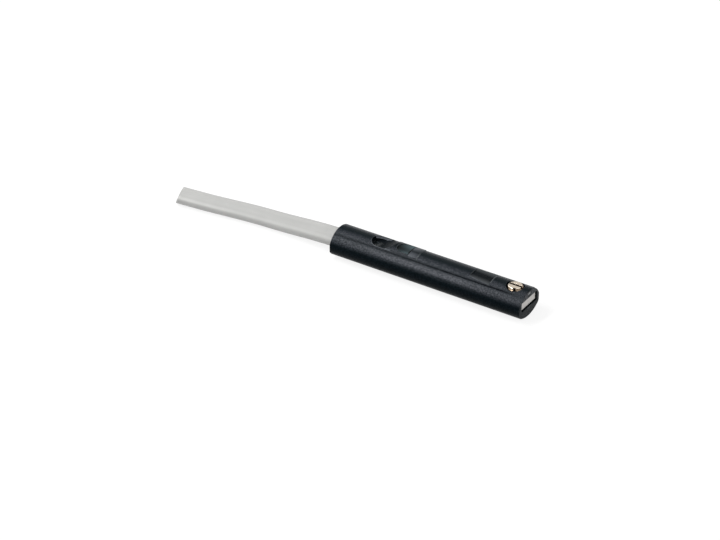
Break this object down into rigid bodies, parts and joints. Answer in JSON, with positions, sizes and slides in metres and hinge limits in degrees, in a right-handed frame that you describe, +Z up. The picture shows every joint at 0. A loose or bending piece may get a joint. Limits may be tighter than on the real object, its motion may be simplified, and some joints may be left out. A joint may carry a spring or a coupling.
{
  "type": "cylinder position sensor",
  "caption": "Slim magnetic position sensor for a cylinder's T-slot: round-bellied bar with a captive clamp nut and slotted screw at one end and a cable at the other.",
  "frame": {"origin": "centre of the housing's length and width, on the lowest line of its round belly", "axes": "+X along the bar towards the clamp end, so the cable leaves at -X; +Z up from the belly to the crown"},
  "size_m": [0.065, 0.0066, 0.0047],
  "materials": {
    "housing_plastic": "glass-filled nylon, fine matte grain",
    "window_plastic": "smoke-tinted clear plastic",
    "nut_steel": "nickel-plated, sawn faces",
    "screw_brass": "turned brass, bright",
    "board_laminate": "solder mask over glass laminate",
    "chip_plastic": "moulded epoxy with tinned leads",
    "led_plastic": "clear epoxy over phosphor",
    "resistor_body": "ceramic chip with a black coat",
    "capacitor_body": "sintered ceramic",
    "core_brown": "extruded, satin",
    "core_black": "extruded, satin",
    "core_blue": "extruded, satin",
    "copper": "bare copper strands",
    "solder": "smooth solder",
    "resin": "cast resin with a dull, grainy face",
    "cable_plastic": "extruded polyurethane, satin"
  },
  "bodies": {
    "sensor_body": {"housing": "housing_plastic", "light_window": "window_plastic", "clamp_nut": "nut_steel", "circuit_board": "board_laminate", "sensor_chip": "chip_plastic", "regulator_chip": "chip_plastic", "output_transistor": "chip_plastic", "indicator_led": "led_plastic", "led_resistor": "resistor_body", "filter_capacitor": "capacitor_body", "supply_capacitor": "capacitor_body", "polarity_diode": "chip_plastic", "surge_diode": "chip_plastic", "bias_resistors": "resistor_body", "core_brown": "core_brown", "core_black": "core_black", "core_blue": "core_blue", "strands_brown": "copper", "strands_black": "copper", "strands_blue": "copper", "solder_joints": "solder", "potting_resin": "resin", "cable_jacket": "cable_plastic"},
    "clamp_screw": {"clamp_screw": "screw_brass"}
  },
  "joints": [
    {"name": "clamp_screw_turn", "type": "hinge", "parent": "sensor_body", "child": "clamp_screw", "pos_m": [0.01455, 0, 0.00452], "axis": [0, 0, 1], "range_deg": [-810, 270]}
  ]
}
